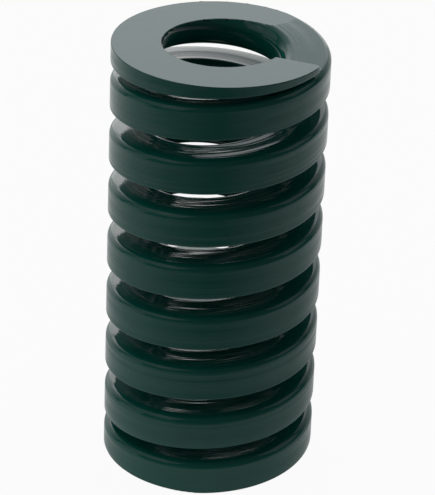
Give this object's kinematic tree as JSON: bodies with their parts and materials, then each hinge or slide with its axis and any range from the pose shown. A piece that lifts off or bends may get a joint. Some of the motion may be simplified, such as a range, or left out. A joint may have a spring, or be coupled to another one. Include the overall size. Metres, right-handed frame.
{
  "type": "die spring",
  "caption": "Stout right-hand compression coil of rectangular wire, closed at its ends and ground flat there, guided by a rod in its bore or by a round pocket.",
  "frame": {"origin": "middle of the bottom ground end, on the spring's axis", "axes": "+Z along the spring's axis, from the bottom end to the top end; the cut tip of the top coil is 27 degrees clockwise of +X, seen from above"},
  "size_m": [0.0244, 0.0244, 0.051],
  "materials": {
    "painted_spring_steel": "gloss"
  },
  "bodies": {
    "root": {"die_spring": "painted_spring_steel"}
  },
  "joints": []
}
